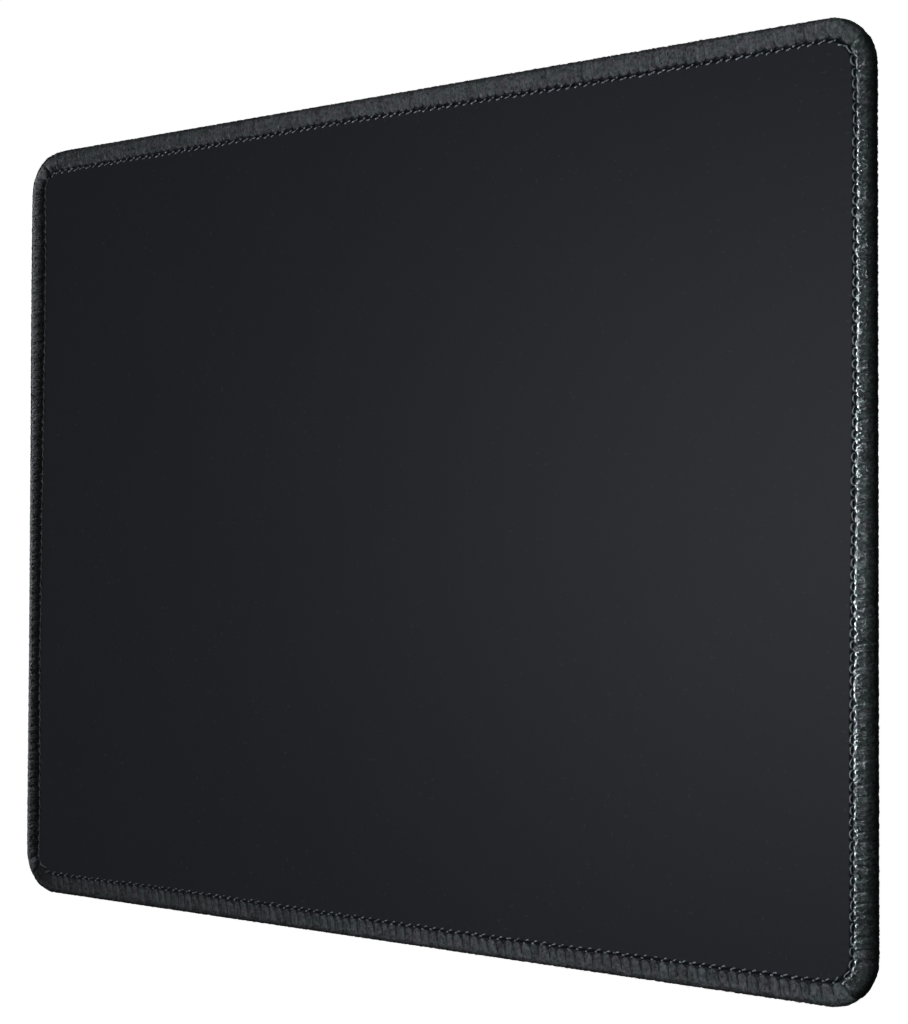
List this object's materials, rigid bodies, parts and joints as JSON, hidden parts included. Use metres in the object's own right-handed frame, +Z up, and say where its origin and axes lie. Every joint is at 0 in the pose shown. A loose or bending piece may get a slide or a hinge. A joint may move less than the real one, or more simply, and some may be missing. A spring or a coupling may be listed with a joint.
{
  "type": "mouse pad",
  "caption": "Flat rectangular cloth mouse pad with rounded corners, a foam rubber base and an overlocked thread edge all round.",
  "frame": {"origin": "bottom centre of the pad, on the surface that its rubber base lies on", "axes": "+X along the long sides, +Y along the short sides, +Z up through the cloth"},
  "size_m": [0.26, 0.21, 0.0033],
  "materials": {
    "cloth": "fine knitted polyester, matt with a faint sheen",
    "film": "hot glue film, sealed inside",
    "rubber": "matt foam rubber with a fine embossed grip pattern below",
    "cover_thread": "soft bulked polyester thread, slightly fuzzy",
    "seam_thread": "smooth spun polyester thread with a slight sheen"
  },
  "bodies": {
    "root": {"cloth_top": "cloth", "bonding_film": "film", "rubber_base": "rubber", "upper_looper_thread": "cover_thread", "lower_looper_thread": "cover_thread", "needle_thread": "seam_thread"}
  },
  "joints": []
}
